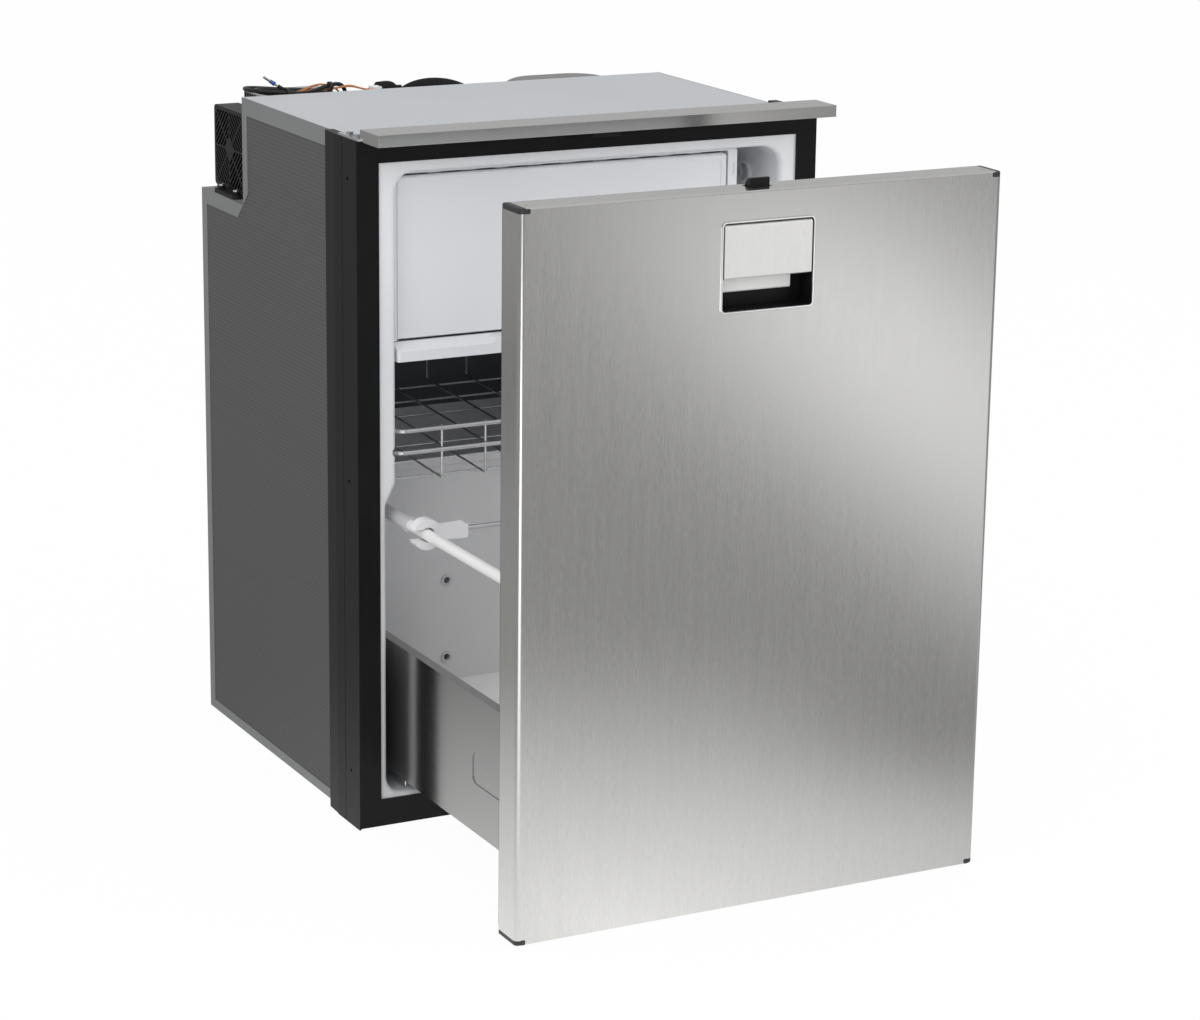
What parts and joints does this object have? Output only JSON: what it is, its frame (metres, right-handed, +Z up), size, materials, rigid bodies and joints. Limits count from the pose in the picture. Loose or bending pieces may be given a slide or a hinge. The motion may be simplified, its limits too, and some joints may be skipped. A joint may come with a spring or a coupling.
{
  "type": "drawer refrigerator",
  "caption": "Built-in compressor drawer refrigerator: insulated box with a black front frame, steel-fronted sliding drawer, wire basket and freezer box.",
  "frame": {"origin": "middle of the underside of the cabinet's base panel, half way along the cabinet's depth", "axes": "+Z up, -Y towards the drawer front, +X to the right as seen from the front"},
  "size_m": [0.549, 0.844, 0.7654],
  "materials": {
    "foam": "rigid foam",
    "liner_white": "white thermoformed sheet",
    "freezer_white": "white moulded plastic",
    "knob_grey": "light grey moulded plastic",
    "side_laminate": "dark grey coated sheet with fine ribs",
    "top_sheet": "light grey coated sheet",
    "back_sheet": "grey coated sheet",
    "edge_foil": "satin foil",
    "black_frame": "satin black",
    "trim_steel": "brushed along its length",
    "zinc": "bright zinc",
    "front_steel": "brushed upright",
    "bezel_chrome": "polished",
    "cup_black": "satin black moulding",
    "bar_grey": "pale grey moulding",
    "cap_grey": "dark grey moulding",
    "gasket_black": "soft black seal",
    "drawer_steel": "stainless sheet",
    "drawer_white": "pale coated sheet",
    "floor_white": "white sheet",
    "rail_white": "white coated tube",
    "fitting_white": "white moulding",
    "grommet_grey": "grey moulding",
    "wire_chrome": "bright wire",
    "plate_slate": "dark slate coating",
    "fan_black": "black moulding",
    "bracket_black": "black coating",
    "fins": "plain fins",
    "compressor_black": "gloss black enamel",
    "mount_steel": "dark plate on rubber feet",
    "unit_grey": "ribbed casting",
    "foam_black": "closed cell foam",
    "copper": "copper tube",
    "lead_black": "black cable jacket",
    "tie_black": "nylon ties",
    "ferrule_tin": "tinned ferrules",
    "wire_orange": "insulated wire"
  },
  "bodies": {
    "cabinet": {"insulation": "foam", "inner_liner": "liner_white", "side_panels": "side_laminate", "top_panel": "top_sheet", "back_panel": "back_sheet", "base_panel": "back_sheet", "edge_trims": "edge_foil", "frame_post_left": "black_frame", "frame_post_right": "black_frame", "frame_rail_top": "black_frame", "frame_rail_bottom": "black_frame", "top_trim": "trim_steel", "trim_brackets": "zinc", "trim_bolts": "zinc", "latch_striker": "zinc", "evaporator_box": "freezer_white", "evaporator_plate": "plate_slate", "freezer_bezel": "freezer_white", "tray_rails": "freezer_white", "thermostat_bezel": "freezer_white", "slide_outers": "zinc", "fan_housing": "fan_black", "fan_bracket": "bracket_black", "condenser": "fins", "compressor": "compressor_black", "compressor_mount": "mount_steel", "control_unit": "unit_grey", "suction_foam": "foam_black", "refrigerant_tubes": "copper", "supply_lead": "lead_black", "cable_ties": "tie_black", "wire_connectors": "ferrule_tin", "sensor_wires": "wire_orange"},
    "drawer": {"door_skin": "front_steel", "door_foam": "foam", "door_inner_panel": "liner_white", "door_gasket": "gasket_black", "door_corner_caps": "cap_grey", "handle_bezel": "bezel_chrome", "handle_cup": "cup_black", "handle_pin": "bezel_chrome", "drawer_sides": "drawer_steel", "drawer_back": "drawer_white", "drawer_floor": "floor_white", "slide_inners": "zinc", "side_rails": "rail_white", "rail_sockets": "fitting_white", "back_grommets": "grommet_grey"},
    "slide_middle": {"slide_middles": "zinc"},
    "handle": {"handle_paddle": "front_steel", "release_bar": "bar_grey"},
    "latch": {"latch_bolt": "cup_black"},
    "basket": {"basket_rails": "wire_chrome", "basket_wires": "wire_chrome"},
    "freezer_flap": {"freezer_door": "freezer_white"},
    "tray": {"drip_tray": "freezer_white"},
    "divider": {"divider_rod": "wire_chrome", "divider_clips": "fitting_white"},
    "thermostat": {"thermostat_knob": "knob_grey"},
    "fan": {"fan_rotor": "fan_black"}
  },
  "joints": [
    {"name": "drawer_slide", "type": "slide", "parent": "cabinet", "child": "drawer", "axis": [0, -1, 0], "range_m": [-0.323, 0.062]},
    {"name": "middle_slide", "type": "slide", "parent": "cabinet", "child": "slide_middle", "axis": [0, -1, 0], "range_m": [-0.1615, 0.031]},
    {"name": "handle_hinge", "type": "hinge", "parent": "drawer", "child": "handle", "pos_m": [0, -0.601, 0.7055], "axis": [-1, 0, 0], "range_deg": [0, 22], "stiffness_Nm_per_rad": 0.8, "springref_deg": -14.32},
    {"name": "latch_slide", "type": "slide", "parent": "drawer", "child": "latch", "axis": [0, 0, 1], "range_m": [-0.009, 0]},
    {"name": "basket_slide", "type": "slide", "parent": "cabinet", "child": "basket", "axis": [0, -1, 0], "range_m": [0, 0.25]},
    {"name": "flap_hinge", "type": "hinge", "parent": "cabinet", "child": "freezer_flap", "pos_m": [0, -0.2115, 0.702], "axis": [-1, 0, 0], "range_deg": [0, 90]},
    {"name": "tray_slide", "type": "slide", "parent": "cabinet", "child": "tray", "axis": [0, -1, 0], "range_m": [0, 0.24]},
    {"name": "divider_slide", "type": "slide", "parent": "drawer", "child": "divider", "axis": [0, -1, 0], "range_m": [-0.028, 0.24]},
    {"name": "thermostat_turn", "type": "hinge", "parent": "cabinet", "child": "thermostat", "pos_m": [0.2255, -0.1595, 0.674], "axis": [-1, 0, 0], "range_deg": [-135, 135]},
    {"name": "fan_spin", "type": "hinge", "parent": "cabinet", "child": "fan", "pos_m": [-0.2335, 0.1875, 0.677], "axis": [1, 0, 0], "continuous": true}
  ],
  "couplings": [
    {"joint": "middle_slide", "follows": "drawer_slide", "ratio": 0.5},
    {"joint": "latch_slide", "follows": "handle_hinge", "m_per_rad": -0.0234}
  ]
}
